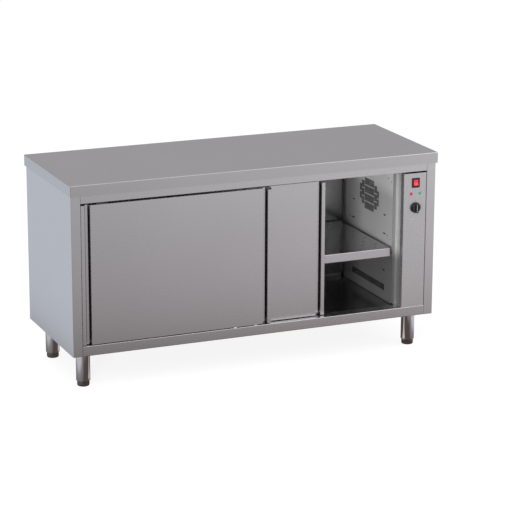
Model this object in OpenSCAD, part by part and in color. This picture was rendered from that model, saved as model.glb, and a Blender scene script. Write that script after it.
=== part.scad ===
// Heated plate cabinet: two sliding doors, a perforated shelf and a side bay with a fan and heater.
// Millimetres. The origin is on the floor under the middle of the worktop: +X right, +Y back, +Z up.
// Most pieces are folded sheet, drawn as the path of one face and given their thickness by fold().

/* [Worktop] */
// Width of the worktop, left to right
worktop_w = 1600; // [1400:10:2000]
// Depth of the worktop, front to back
worktop_d = 600; // [560:5:700]
// Height of the finished top above the floor
total_h = 850; // [840:5:950]
// Height of the turned-down edge round the worktop
apron_h = 45; // [40:1:55]
// Thickness of the worktop sheet
top_t = 1.2; // [1:0.1:1.5]
// Outer radius of the worktop's edges and corners
top_r = 2.5; // [2:0.1:4]
// Thickness of the board bonded under the worktop
board_t = 18; // [15:1:22]

/* [Body] */
// How far the worktop stands out past each side of the body
side_overhang = 4.5; // [3:0.5:15]
// How far the worktop stands out past the front of the body
front_overhang = 11; // [4:0.5:20]
// How far the worktop stands out past the back of the body
back_overhang = 16; // [16:0.5:25]
// Thickness of the body sheet
sheet_t = 1; // [0.8:0.1:1.2]
// Outer radius of the folds in the body sheet
bend_r = 2; // [1.5:0.1:2.5]
// Width of the front posts
post_w = 40; // [35:1:50]
// Height of the top rail that shows below the worktop's edge
top_rail_h = 32.5; // [28:0.5:40]
// Height of the front rail at the base
base_rail_h = 41; // [38:1:50]
// Thickness of the insulated left wall, outer face to inner face
side_wall = 26.5; // [24:0.5:36]
// Thickness of the insulated back wall, outer face to inner face
back_wall = 14; // [12:0.5:25]
// Depth of the base, underside to the inner floor
base_h = 34; // [33:1:36]
// Space between the worktop's board and the inner ceiling
ceiling_drop = 50.5; // [46:0.5:54]
// Height of the upstand behind the inner floor
upstand_h = 16; // [12:1:30]
// Width of the air gap at the inner right back corner
corner_gap = 8; // [5:1:15]

/* [Doors] */
// Thickness of each door
door_t = 24; // [22:1:26]
// Gap between the front door and the rear door
door_gap = 2; // [1.5:0.5:3]
// Distance from the body's front down to the front door's face
door_setback = 3; // [2:0.5:5]
// How far the closed doors overlap each other
door_overlap = 217; // [190:1:240]
// Gap between a door's end and the post that it closes on
door_end_gap = 1.5; // [1:0.5:3]
// Gap under the doors
door_foot_gap = 3; // [1.5:0.5:4]
// Gap between the doors and the top rail
door_head_gap = 8.5; // [7:0.5:10]
// How far the rear door stands open from its closed place
rear_door_open = 342; // [0:1:500]
// Width of the strip at each end of a door
strip_w = 16; // [10:1:20]
// Width of the finger groove at the door's face
groove_w = 23; // [22:1:32]
// Width of the finger groove's floor
groove_floor = 11.4; // [8:0.1:14]
// Depth of the finger groove
groove_d = 16; // [14:0.5:16]
// Height of the opening at the foot of each finger groove
groove_foot = 6.6; // [5:0.1:10]
// How much the right strip stops short of the door's top
strip_drop = 7; // [4:0.5:10]

/* [Door gear] */
// Radius of the door rollers
roller_r = 10; // [9:0.5:10]
// Radius of the roller axles
axle_r = 2.5; // [2:0.1:3]
// Distance from a door's end to its roller axle
roller_inset = 90; // [70:1:120]
// Width of the slot along the underside of a track
track_slot = 6; // [5:0.5:7]
// Width of a track's inside
track_w = 19; // [18.5:0.5:20]
// Wall of the track
track_t = 1.8; // [1.5:0.1:2]
// Radius of the bottom guide pins
guide_r = 5; // [4:0.5:5]
// Distance between the two guide pins of one door
guide_pitch = 90; // [60:1:95]

/* [Shelf] */
// Height of the shelf's top above the floor
shelf_z = 438.5; // [380:0.5:520]
// Height of the shelf's turned-down edges
shelf_edge = 36; // [28:1:45]
// Gap between a shelf end and the wall
shelf_side_gap = 19; // [12:1:24]
// Gap between the shelf's back edge and the back wall
shelf_back_gap = 8; // [4:1:20]
// Diameter of the shelf's holes
shelf_hole_d = 10; // [6:1:16]
// Distance between holes along a row
shelf_pitch_x = 63; // [50:1:90]
// Distance between rows of holes
shelf_pitch_y = 55; // [40:1:80]

/* [Legs] */
// Height of the body's underside above the floor
leg_h = 150; // [130:1:180]
// Outer diameter of the legs
leg_d = 57; // [50:1:60]
// Wall of the leg tube
leg_t = 1.5; // [1.2:0.1:2]
// Distance from the body's side to a leg's axis
leg_inset_x = 68.5; // [60:0.5:80]
// Distance from the body's front to the front legs' axes
leg_inset_front = 89; // [70:1:110]
// Distance from the body's back to the rear legs' axes
leg_inset_back = 87; // [70:1:110]
// Diameter of the feet
foot_d = 50; // [44:1:52]
// Height of the foot that shows below the leg
foot_h = 24; // [18:1:30]
// Radius of the foot's threaded stem
stem_r = 6; // [5:0.5:7]
// How far a foot can be screwed out
foot_travel = 50; // [30:1:55]

/* [Side bay] */
// Width of the bay, outer face to the heated space
bay_w = 154.5; // [150:0.5:165]
// How far the jamb steps into the doorway from the bay's wall
jamb_step = 9.5; // [6:0.5:12]
// Gap on the right of the control panel
panel_gap = 1.5; // [1:0.1:2]
// Gap above the control panel
panel_head_gap = 6; // [3:0.5:8]
// Distance from the finished top down to the fan's centre
fan_drop = 239; // [230:1:250]
// Distance of the fan's centre behind the worktop's middle
fan_y = 16; // [5:1:30]
// Radius of the fan wheel
fan_r = 72; // [60:1:75]
// Number of blades on the fan wheel
fan_blades = 24; // [12:1:32]
// Depth of the air duct
duct_d = 70; // [66:1:75]
// Width of one air slot
slot_w = 6.5; // [5:0.5:7]
// Distance from one air slot to the next
slot_pitch = 9; // [9:0.5:12]
// Width of the solid bar between two rows of air slots
slot_bar = 4.5; // [3:0.5:8]

/* [Controls] */
// Distance from the finished top down to the rocker switch's centre
switch_drop = 124.2; // [115:0.1:135]
// Width of the switch's frame
switch_w = 35; // [32:0.5:38]
// Height of the switch's frame
switch_h = 41; // [39:0.5:48]
// Width of the rocker
rocker_w = 18.5; // [16:0.5:22]
// Half the height of the rocker
rocker_r = 14; // [12:0.1:15]
// Angle between the rocker's two positions
rocker_swing = 14; // [8:1:16]
// Distance from the finished top down to the two lamps
lamp_drop = 169.5; // [160:0.5:180]
// Distance between the two lamps
lamp_pitch = 40; // [30:1:50]
// Diameter of a lamp's lens
lamp_d = 13; // [8:0.5:14]
// Distance from the finished top down to the knob's centre
knob_drop = 229.7; // [220:0.1:245]
// Diameter of the knob's skirt
knob_d = 44.5; // [40:0.1:50]
// How far the knob stands out from the panel
knob_h = 20; // [16:1:24]
// Radius of the thermostat's shaft
shaft_r = 3; // [2.5:0.1:3.5]
// Radius of the cable gland's bore
gland_r = 6; // [4:0.5:7]

/* [Hidden] */
$fn = 48;

seat_gap = 0.3;                 // between pieces that lie against each other
run_gap = 0.05;                 // radial, round a turning shaft
cut = 1;                        // how far a cutting tool runs past a face
bend_steps = 4;                 // flats in one fold

steel = [0.68, 0.68, 0.70];
dark_steel = [0.45, 0.45, 0.47];
zinc = [0.60, 0.62, 0.65];
black = [0.06, 0.06, 0.06];
wool = [0.80, 0.72, 0.45];

// Body planes
body_x = worktop_w / 2 - side_overhang;
body_y0 = -worktop_d / 2 + front_overhang;
body_y1 = worktop_d / 2 - back_overhang;
board_z0 = total_h - top_t - board_t;
body_z1 = board_z0 - seat_gap;
shell_z0 = leg_h + sheet_t + seat_gap;
apron_z0 = total_h - apron_h;
rail_z0 = apron_z0 - top_rail_h;
base_rail_z1 = leg_h + base_rail_h;

// Heated space
wall_x0 = -body_x + side_wall;
wall_x1 = body_x - bay_w;
back_y = body_y1 - back_wall;
shell_back_y = body_y1 - sheet_t - seat_gap;   // what stands against the back panel
floor_z = leg_h + base_h;
ceiling_z = body_z1 - ceiling_drop;

// Doorway and doors
opening_x0 = -body_x + post_w;
opening_x1 = wall_x1 + jamb_step;
door_z0 = base_rail_z1 + door_foot_gap;
door_z1 = rail_z0 - door_head_gap;
door_h = door_z1 - door_z0;
door_w = (opening_x1 - opening_x0 - 2 * door_end_gap + door_overlap) / 2;
front_door_pos = [opening_x0 + door_end_gap, body_y0 + door_setback, door_z0];
rear_door_pos = [opening_x1 - door_end_gap - door_w - rear_door_open,
    front_door_pos[1] + door_t + door_gap, door_z0];
doors_back = rear_door_pos[1] + door_t;
jamb_y = doors_back + seat_gap;
lining_y = doors_back + 3;
guide_w = 2 * guide_r + 1;      // slot along a door's foot, round the guide pins
guide_x = (opening_x0 + opening_x1) / 2;

// Track and rollers
track_h = 2 * roller_r + 4 + track_t;
track_z1 = body_z1 - sheet_t - seat_gap;
track_z0 = track_z1 - track_h - 0.2;
ledge_z = track_z0 + track_t;
axle_z = ledge_z + roller_r + seat_gap;
stem_t = 4;                     // plate of a hanger, across the door
wheel_w = 5.5;
wheel_y = 3.2;                  // from the hanger's middle to a wheel

// Bay and its controls
fan_z = total_h - fan_drop;
switch_z = total_h - switch_drop;
lamp_z = total_h - lamp_drop;
knob_z = total_h - knob_drop;
bay_x0 = wall_x1 + sheet_t + seat_gap;     // what stands against the wall in the bay
wall_y0 = jamb_y + 27;                     // front edge of the bay's wall
panel_x0 = opening_x1;
panel_x1 = body_x - post_w - panel_gap;
panel_x = (panel_x0 + panel_x1) / 2 + 2.2;
panel_z0 = base_rail_z1 + 0.5;
panel_z1 = rail_z0 - panel_head_gap;
duct_x1 = bay_x0 + duct_d;
duct_front = 52;                // from the wall's front edge to the duct
duct_back = 77;                 // from the duct to the inner back wall
duct_foot = 33;                 // from the inner floor up to the duct
duct_head = 104;                // from the fan's centre up to the duct's top
duct_y = [wall_y0 + duct_front, back_y - duct_back];
duct_z = [floor_z + duct_foot, fan_z + duct_head];
low_slot_y = [duct_y[0] + 12, duct_y[1] - 20];
low_slot_z = [duct_z[0] + 11, duct_z[0] + 38];
shaft_clear_r = shaft_r + run_gap;
gland_pos = [body_x - 75, body_y1, leg_h + 80];
earth_pos = [gland_pos[0] - 45, body_y1, gland_pos[2]];

// Shelf
shelf_x = [wall_x0 + shelf_side_gap, wall_x1 - shelf_side_gap];
shelf_y = [lining_y + 4, back_y - shelf_back_gap];

// ---- helpers ----

function unit(v) = v / norm(v);
function left_of(v) = [-v[1], v[0]];

// The points of corner b, rounded to radius r between its neighbours a and c
function round_corner(a, b, c, r) =
    let (u = unit(a - b), w = unit(c - b), half = acos(u * w) / 2)
    let (from = b + u * r / tan(half), to = b + w * r / tan(half))
    let (mid = b + unit(u + w) * r / sin(half))
    [for (k = [0:bend_steps]) let (f = k / bend_steps)
        mid + r * unit((1 - f) * (from - mid) + f * (to - mid))];

// A path with each of its inner corners rounded
function rounded(p, r) = concat([p[0]],
    [for (i = [1:len(p) - 2]) each round_corner(p[i - 1], p[i], p[i + 1], r)],
    [p[len(p) - 1]]);

// The path moved to its left by t, mitred at the corners
function beside(p, t) = [for (i = [0:len(p) - 1])
    let (n1 = left_of(unit(i > 0 ? p[i] - p[i - 1] : p[1] - p[0])))
    let (n2 = left_of(unit(i < len(p) - 1 ? p[i + 1] - p[i] : p[i] - p[i - 1])))
    p[i] + t * (n1 + n2) / (1 + n1 * n2)];

function backwards(p) = [for (i = [len(p) - 1:-1:0]) p[i]];

// Cross-section of a folded sheet: its outer face follows the path, its thickness lies to the left
module fold(path, t = sheet_t, r = bend_r) {
    face = rounded(path, r);
    polygon(concat(face, backwards(beside(face, t))));
}

// Extrude a section in y and z along X, or one in x and z along Y, or one in x and y along Z
module along_x(x0, x1) translate([x0, 0, 0]) rotate([90, 0, 90]) linear_extrude(x1 - x0) children();
module along_y(y0, y1) translate([0, y1, 0]) rotate([90, 0, 0]) linear_extrude(y1 - y0) children();
module along_z(z0, z1) translate([0, 0, z0]) linear_extrude(z1 - z0) children();

// A box from its lowest to its highest corner
module block(low, high) translate(low) cube(high - low);

// A turned piece on an axis along Y, drawn as radius against distance along the axis
module turned_y() rotate([-90, 0, 0]) rotate_extrude() children();

module rod_x(x0, x1, r) translate([x0, 0, 0]) rotate([0, 90, 0]) cylinder(h = x1 - x0, r = r);
module rod_y(y0, y1, r) translate([0, y0, 0]) rotate([-90, 0, 0]) cylinder(h = y1 - y0, r = r);

module hex(across, h) cylinder(h = h, d = across / cos(30), $fn = 6);

// ---- worktop ----

// A block w by d whose upper edges and upright corners are rounded to r
module eased_block(w, d, z0, z1, r) {
    for (grow = [[0, r], [r, 0]])
        block([-w / 2 + grow[0], -d / 2 + grow[1], z0], [w / 2 - grow[0], d / 2 - grow[1], z1 - r]);
    block([-w / 2 + r, -d / 2 + r, z0], [w / 2 - r, d / 2 - r, z1]);
    for (sx = [-1, 1], sy = [-1, 1]) translate([sx * (w / 2 - r), sy * (d / 2 - r), 0]) {
        translate([0, 0, z0]) cylinder(h = z1 - r - z0, r = r);
        translate([0, 0, z1 - r]) sphere(r);
    }
    for (sy = [-1, 1]) translate([0, sy * (d / 2 - r), z1 - r]) rod_x(-w / 2 + r, w / 2 - r, r);
    for (sx = [-1, 1]) translate([sx * (w / 2 - r), 0, z1 - r]) rod_y(-d / 2 + r, d / 2 - r, r);
}

module worktop() color(steel) difference() {
    eased_block(worktop_w, worktop_d, apron_z0, total_h, top_r);
    eased_block(worktop_w - 2 * top_t, worktop_d - 2 * top_t, apron_z0 + top_t, total_h - top_t,
        top_r - top_t);
    block([-body_x - seat_gap, body_y0 - seat_gap, apron_z0 - cut],
        [body_x + seat_gap, body_y1 + seat_gap, apron_z0 + top_t + cut]);
}

module worktop_board() color([0.62, 0.48, 0.32]) block(
    [-worktop_w / 2 + top_t + top_r, -worktop_d / 2 + top_t + top_r, board_z0],
    [worktop_w / 2 - top_t - top_r, worktop_d / 2 - top_t - top_r, total_h - top_t]);

rib_top = 60;                   // flat of a hat-shaped rib
rib_foot = 16;                  // flange on each side of it
rib_h = 22;                     // its height under the worktop

// Section of a hat-shaped rib, its flat at height h and its flanges at 0
function hat(h) = [[-rib_top / 2 - rib_foot, 0], [-rib_top / 2, 0], [-rib_top / 2, h],
    [rib_top / 2, h], [rib_top / 2, 0], [rib_top / 2 + rib_foot, 0]];

module worktop_ribs() color(zinc)
    for (y = [-worktop_d / 5, worktop_d / 5]) along_x(opening_x0, wall_x1 - 5)
        translate([y, body_z1]) fold([for (p = hat(rib_h)) [p[0], -p[1]]], t = -sheet_t);

// ---- outer shell ----

side_flange = 30;               // fold behind the back edge of each side panel

// Section of a side panel from its back flange round the side and post to the post's inner edge
module side_section(return_y) fold([[-body_x + side_flange, body_y1 - sheet_t],
    [-body_x, body_y1 - sheet_t], [-body_x, body_y0], [opening_x0, body_y0],
    [opening_x0, return_y]]);

module left_side_panel() color(steel)
    along_z(leg_h, body_z1) side_section(lining_y - seat_gap);

module right_side_panel() color(steel)
    along_z(leg_h, body_z1) mirror([1, 0]) side_section(body_y0 + 15);

back_flange = 22;               // fold at the back panel's top
louvre_rows = 8;
louvre_pitch = 16;
louvre_w = 60;
louvre_h = 5;

module back_panel() color(steel) difference() {
    union() {
        along_x(-body_x + side_flange + 1, body_x - side_flange - 1)
            fold([[body_y1, leg_h], [body_y1, body_z1], [body_y1 - back_flange, body_z1]]);
        for (sx = [-1, 1]) translate([sx * (body_x - side_flange / 2 - 1), 0, 0])
            block([-side_flange / 2 - 1, body_y1 - sheet_t, leg_h],
                [side_flange / 2 + 1, body_y1, body_z1]);
    }
    for (k = [0:louvre_rows - 1])
        block([body_x - bay_w / 2 - louvre_w / 2, body_y1 - sheet_t - cut, fan_z - 60 + k * louvre_pitch],
            [body_x - bay_w / 2 + louvre_w / 2, body_y1 + cut, fan_z - 60 + k * louvre_pitch + louvre_h]);
    translate(gland_pos) rod_y(-sheet_t - cut, cut, gland_thread_r + 0.2);
    translate(earth_pos) rod_y(-sheet_t - cut, cut, stud_r + 0.2);
}

module top_rail() color(steel) along_x(opening_x0 + seat_gap, -opening_x0 - seat_gap)
    fold([[body_y0 + 6, rail_z0], [body_y0, rail_z0], [body_y0, body_z1],
        [lining_y + 7, body_z1]], t = -sheet_t);

leg_x = body_x - leg_inset_x;
leg_y = [body_y0 + leg_inset_front, body_y1 - leg_inset_back];
stud_top = 22;                  // length of a leg's stud inside the base
leg_stud_r = 6;

module at_legs() for (x = [-leg_x, leg_x], y = leg_y) translate([x, y, 0]) children();

module base_pan() color(steel) difference() {
    union() {
        along_x(opening_x0 + seat_gap, -opening_x0 - seat_gap)
            fold([[shell_back_y, leg_h + base_h - 4], [shell_back_y, leg_h], [body_y0, leg_h],
                [body_y0, base_rail_z1], [lining_y - 0.5, base_rail_z1],
                [lining_y - 0.5, base_rail_z1 - 5]], t = -sheet_t);
        for (side = [0, 1]) mirror([side, 0, 0]) {
            block([-body_x + sheet_t + seat_gap, lining_y, leg_h],
                [opening_x0 + 3, body_y1 - 2 * sheet_t - seat_gap, leg_h + sheet_t]);
            block([-body_x + sheet_t + seat_gap, body_y0 + 1.5, leg_h],
                [-body_x + 2 * sheet_t + seat_gap, body_y1 - 5, leg_h + 25]);
        }
    }
    at_legs() translate([0, 0, leg_h - cut]) cylinder(h = 2 * cut + sheet_t, r = leg_stud_r + 0.2);
}

module base_ribs() color(zinc) for (x = [-leg_x, leg_x])
    along_y(lining_y + 3, back_y - 2) translate([x, shell_z0])
        fold(hat(floor_z - 2 * sheet_t - seat_gap - shell_z0));

// ---- lining ----

module cabinet_floor() color(steel) along_x(wall_x0 + bend_r + seat_gap, wall_x1 - seat_gap)
    fold([[lining_y, floor_z - 14], [lining_y, floor_z], [back_y, floor_z],
        [back_y, floor_z + upstand_h]], t = -sheet_t);

module left_inner_wall() color(steel) difference() {
    along_z(floor_z - 2, ceiling_z + 18) fold([[opening_x0 - sheet_t - seat_gap, lining_y],
        [wall_x0, lining_y], [wall_x0, shell_back_y - sheet_t]]);
    along_x(wall_x0 - sheet_t - cut, wall_x0 + cut) bracket_slots();
}

// Rows of upright air slots in one band of the wall: y and z limits, and how many rows
module slot_band(y, z, rows) {
    count = floor((y[1] - y[0] - slot_w) / slot_pitch) + 1;
    first = (y[0] + y[1]) / 2 - (count - 1) * slot_pitch / 2;
    row_h = (z[1] - z[0] + slot_bar) / rows;
    for (k = [0:count - 1], row = [0:rows - 1])
        translate([first + k * slot_pitch - slot_w / 2, z[0] + row * row_h])
            square([slot_w, row_h - slot_bar]);
}

// Half widths and half heights of the grille's three steps, and the rows of slots in each
grille = [[[0, 47], 68, 4], [[47, 74], 51.5, 3], [[74, 92], 32.5, 2]];

module grille_slots() {
    slot_band([fan_y - grille[0][0][1], fan_y + grille[0][0][1]],
        [fan_z - grille[0][1], fan_z + grille[0][1]], grille[0][2]);
    for (side = [-1, 1], step = [grille[1], grille[2]])
        slot_band([for (k = [0, 1]) fan_y + side * step[0][side > 0 ? k : 1 - k]],
            [fan_z - step[1], fan_z + step[1]], step[2]);
}

bracket_inset = 95;             // from the shelf's front and back edges
bracket_y = [shelf_y[0] + bracket_inset, shelf_y[1] - bracket_inset];
bracket_w = 20;
bracket_t = 3;
bracket_slot_h = 5;
slot_levels = 4;
slot_level_pitch = 80.5;
bracket_z = shelf_z - shelf_edge - bracket_t - seat_gap;
tongue_z = -2.5;                // middle of a bracket's tongue against its underside

module bracket_slots() for (y = bracket_y, k = [-1:slot_levels - 2])
    translate([y - bracket_w / 2, bracket_z + tongue_z - bracket_slot_h / 2 + k * slot_level_pitch])
        square([bracket_w, bracket_slot_h]);

rivet_y = wall_y0 + 17;
rivet_z = [low_slot_z[0] - 11, fan_z - 147, fan_z + 101];
duct_flange = 16;
duct_screws = [for (y = [duct_y[0] - duct_flange / 2, duct_y[1] + duct_flange / 2],
    z = [duct_z[0] + 8, fan_z - 136, duct_z[1] + duct_flange / 2]) [y, z]];

module right_inner_wall() color(steel) along_x(wall_x1, wall_x1 + sheet_t) difference() {
    translate([wall_y0, shell_z0])
        square([shell_back_y - sheet_t - seat_gap - wall_y0, body_z1 - 2 - shell_z0]);
    grille_slots();
    slot_band(low_slot_y, low_slot_z, 1);
    bracket_slots();
}

module inner_back_wall() color(steel) along_z(floor_z - 3, ceiling_z - 0.5)
    fold([[wall_x0 + seat_gap, back_y + 1.3], [wall_x1 - corner_gap, back_y + 1.3],
        [wall_x1 - corner_gap, shell_back_y]]);

module inner_ceiling() color(steel) along_x(wall_x0 + seat_gap, wall_x1 - seat_gap)
    fold([[lining_y + 1.5, track_z1], [lining_y + 1.5, ceiling_z], [back_y + 1, ceiling_z],
        [back_y + 1, ceiling_z + 14]]);

module insulation() color(wool) {
    block([-body_x + sheet_t + seat_gap, lining_y + sheet_t, floor_z - 1],
        [wall_x0 - sheet_t - 3, shell_back_y - sheet_t - seat_gap, body_z1 - 2]);
    block([-leg_x + rib_top / 2 + rib_foot + 4, lining_y + 2, shell_z0],
        [wall_x1 - 1, back_y, floor_z - sheet_t - seat_gap]);
    block([wall_x0, back_y + 2.3 + seat_gap, floor_z - 3],
        [wall_x1 - corner_gap - 2, shell_back_y - sheet_t - seat_gap, body_z1 - 2]);
}

jamb_lap = 33;                  // overlap of the jamb and the bay's wall
jamb_return = 24;               // fold behind the control panel

module door_jamb() color(steel) along_z(base_rail_z1 + seat_gap, track_z0 - seat_gap)
    fold([[bay_x0, wall_y0 + jamb_lap], [bay_x0, jamb_y], [opening_x1, jamb_y],
        [opening_x1, rear_door_pos[1] - 1.7], [opening_x1 + jamb_return, rear_door_pos[1] - 1.7]]);

// ---- door gear ----

module track_section() difference() {
    translate([front_door_pos[1] + 1, track_z0]) square([doors_back - front_door_pos[1] - 2,
        track_z1 - track_z0]);
    for (y = [front_door_pos[1], rear_door_pos[1]]) translate([y + door_t / 2, 0]) {
        translate([-track_w / 2, ledge_z]) square([track_w, track_z1 - track_t - ledge_z]);
        translate([-track_slot / 2, track_z0 - cut]) square([track_slot, track_t + 2 * cut]);
    }
}

module door_track() color([0.72, 0.73, 0.75])
    along_x(opening_x0 + sheet_t + seat_gap, opening_x1 - seat_gap) track_section();

stop_inset = door_end_gap + roller_inset - roller_r - 0.5;

// Rubber blocks in the tracks, just past where the rollers stop
module track_stops() color(black) for (y = [front_door_pos[1], rear_door_pos[1]])
    for (x = [[opening_x0 + 2 * sheet_t, opening_x0 + stop_inset],
            [opening_x1 - stop_inset, opening_x1 - 2 * sheet_t]])
        block([x[0], y + door_t / 2 - track_w / 2 + seat_gap, ledge_z + seat_gap],
            [x[1], y + door_t / 2 + track_w / 2 - seat_gap, track_z1 - track_t - seat_gap]);

module door_guides() color([0.92, 0.92, 0.90])
    for (x = [-guide_pitch / 2, guide_pitch / 2], y = [front_door_pos[1], rear_door_pos[1]])
        translate([guide_x + x, y + door_t / 2, base_rail_z1]) {
            cylinder(h = 1, r = guide_r + 3);
            cylinder(h = door_foot_gap + 8, r = guide_r);
        }

// ---- a door, drawn with its lower front left corner at the origin ----

flank = (groove_w - groove_floor) / 2;
grip_x = strip_w + groove_w;    // inner edge of a finger groove
grip_lap = 12;                  // lip of a grip profile behind the face sheet

// The grip profiles seen from above: end return, strip, groove and lip, joined along the lips
door_path = let (left = [[0, door_t], [0, 0], [strip_w, 0], [strip_w + flank, groove_d],
        [strip_w + flank + groove_floor, groove_d], [grip_x, sheet_t + seat_gap]])
    concat(left, [for (p = backwards(left)) [door_w - p[0], p[1]]]);

// The room inside a door's face, as deep as back
module door_inside(back) intersection() {
    polygon(beside(rounded(door_path, bend_r), sheet_t + seat_gap));
    square([door_w, back]);
}

// A flat face sheet between two folded grip profiles, whose lips lie behind it
module door_face() difference() {
    union() {
        block([grip_x, 0, 0], [door_w - grip_x, sheet_t, door_h]);
        along_z(0, door_h) difference() {
            fold(door_path);
            translate([grip_x + grip_lap, 0]) square([door_w - 2 * (grip_x + grip_lap), door_t]);
        }
    }
    for (x = [strip_w, door_w - grip_x])
        block([x, -cut, -cut], [x + groove_w, groove_d + sheet_t + cut / 2, groove_foot]);
    block([door_w - strip_w, -cut, door_h - strip_drop], [door_w + cut, sheet_t + cut, door_h + cut]);
}

module door_back() {
    block([sheet_t + seat_gap, door_t - sheet_t, 0], [door_w - sheet_t - seat_gap, door_t, door_h]);
    for (z = [0, door_h - sheet_t]) along_z(z, z + sheet_t) difference() {
        door_inside(door_t - sheet_t / 2);
        if (z == 0) translate([grip_x + 5, (door_t - guide_w) / 2])
            square([door_w - 2 * (grip_x + 5), guide_w]);
    }
}

module door_core() along_z(groove_foot + 8, door_h - strip_drop - 2)
    door_inside(door_t - sheet_t - seat_gap);

hanger_w = 24;

// A plate on the door's top whose eye carries the rollers' axle
module hangers() for (x = [roller_inset, door_w - roller_inset]) translate([x, door_t / 2, 0]) {
    block([-hanger_w, -6, door_h], [hanger_w, 6, door_h + 3]);
    difference() {
        along_y(-stem_t / 2, stem_t / 2) {
            translate([-hanger_w / 2, door_h]) square([hanger_w, axle_z - door_z0 - door_h]);
            translate([0, axle_z - door_z0]) circle(r = roller_r - 2);
        }
        translate([0, 0, axle_z - door_z0]) rod_y(-stem_t, stem_t, axle_r + run_gap);
        for (s = [-1, 1]) translate([s * (hanger_w / 2 + roller_r - 2), 0, axle_z - door_z0])
            block([-hanger_w / 2, -stem_t, -roller_r - 2], [hanger_w / 2, stem_t, roller_r]);
    }
}

// Two wheels on one axle, either side of the hanger
module roller_pair() turned_y() {
    translate([0, -wheel_y - wheel_w]) square([axle_r, 2 * (wheel_y + wheel_w)]);
    for (side = [0, 1]) mirror([0, side]) {
        translate([0, wheel_y]) polygon([[0, 0], [roller_r - 0.6, 0], [roller_r, 0.6],
            [roller_r, wheel_w - 0.6], [roller_r - 0.6, wheel_w], [0, wheel_w]]);
        translate([0, stem_t / 2 + 0.4]) square([axle_r + 1.5, wheel_y - stem_t / 2 - 0.2]);
    }
}

module roller_at(pos, x) color([0.9, 0.9, 0.88])
    translate([pos[0] + x, pos[1] + door_t / 2, axle_z]) roller_pair();

module front_door_face() color(steel) translate(front_door_pos) door_face();
module front_door_back() color(steel) translate(front_door_pos) door_back();
module front_door_core() color(wool) translate(front_door_pos) door_core();
module front_door_hangers() color(zinc) translate(front_door_pos) hangers();
module front_roller_left() roller_at(front_door_pos, roller_inset);
module front_roller_right() roller_at(front_door_pos, door_w - roller_inset);
module rear_door_face() color(steel) translate(rear_door_pos) door_face();
module rear_door_back() color(steel) translate(rear_door_pos) door_back();
module rear_door_core() color(wool) translate(rear_door_pos) door_core();
module rear_door_hangers() color(zinc) translate(rear_door_pos) hangers();
module rear_roller_left() roller_at(rear_door_pos, roller_inset);
module rear_roller_right() roller_at(rear_door_pos, door_w - roller_inset);

// ---- shelf ----

shelf_lip = 12;
hole_margin = 20;

module shelf_holes() {
    y_first = shelf_y[0] + 26;
    rows = floor((shelf_y[1] - hole_margin - y_first) / shelf_pitch_y);
    for (row = [0:rows]) {
        shift = row % 2 == 0 ? 0 : shelf_pitch_x / 2;
        x_last = shelf_x[1] - 58 + shift;
        for (k = [0:floor((x_last - shelf_x[0] - hole_margin) / shelf_pitch_x)])
            translate([x_last - k * shelf_pitch_x, y_first + row * shelf_pitch_y])
                circle(d = shelf_hole_d, $fn = 24);
    }
}

// Section of the shelf: lip, front edge, top, back edge and lip
shelf_path = let (z0 = shelf_z - shelf_edge, y = shelf_y)
    [[y[0] + shelf_lip, z0], [y[0], z0], [y[0], shelf_z], [y[1], shelf_z], [y[1], z0],
        [y[1] - shelf_lip, z0]];

module shelf() color(steel) {
    difference() {
        along_x(shelf_x[0] + sheet_t / 2, shelf_x[1] - sheet_t / 2) fold(shelf_path, t = -sheet_t);
        along_z(shelf_z - sheet_t - cut, shelf_z + cut) shelf_holes();
    }
    for (x = [shelf_x[0], shelf_x[1] - sheet_t]) along_x(x, x + sheet_t)
        polygon(rounded(shelf_path, bend_r));
}

module shelf_ribs() color(zinc) for (f = [1 / 3, 2 / 3])
    along_y(shelf_y[0] + shelf_lip + 2, shelf_y[1] - shelf_lip - 2)
        translate([shelf_x[0] + f * (shelf_x[1] - shelf_x[0]), shelf_z - sheet_t - seat_gap])
            fold([for (p = hat(shelf_edge - 14)) [p[0] * 0.6, -p[1]]], t = -sheet_t);

// Z-shaped brackets: a tongue through the wall's slot and a ledge under the shelf's end
module shelf_brackets() color(steel) for (y = bracket_y, side = [0, 1])
    along_y(y - bracket_w / 2 + 0.5, y + bracket_w / 2 - 0.5)
        translate([side == 0 ? wall_x0 : wall_x1, bracket_z]) mirror([1 - side, 0])
            fold([[3, tongue_z + 1], [-seat_gap, tongue_z + 1], [-seat_gap, bracket_t],
                [-shelf_side_gap - 16, bracket_t]], t = 2, r = 2.2);

// ---- legs and feet ----

plug_h = 22;                    // threaded plug in a leg's lower end
foot_gap = seat_gap;

module leg(x, y) color(steel) translate([x, y, 0]) difference() {
    union() {
        translate([0, 0, foot_h + foot_gap]) cylinder(h = leg_h - foot_h - foot_gap, d = leg_d);
        cylinder(h = leg_h + stud_top, r = leg_stud_r);
    }
    translate([0, 0, foot_h + foot_gap + plug_h])
        cylinder(h = leg_h - foot_h - foot_gap - plug_h - 4, d = leg_d - 2 * leg_t);
    translate([0, 0, -cut]) cylinder(h = foot_h + foot_gap + plug_h + 2 * cut, r = stem_r + 0.1);
}

// Foot: a pad with a groove round its top, on a threaded stem
module foot(x, y) color(steel) translate([x, y, 0]) rotate_extrude() difference() {
    r = foot_d / 2;
    union() {
        polygon([[0, 0], [r - 5, 0], [r - 2.5, 1], [r - 0.8, 3], [r, 6], [r, foot_h - 5],
            [r - 1.5, foot_h - 4.5], [r - 1.5, foot_h - 3], [r, foot_h - 2.5], [r, foot_h],
            [0, foot_h]]);
        square([stem_r, foot_h + plug_h + foot_travel]);
    }
}

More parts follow.
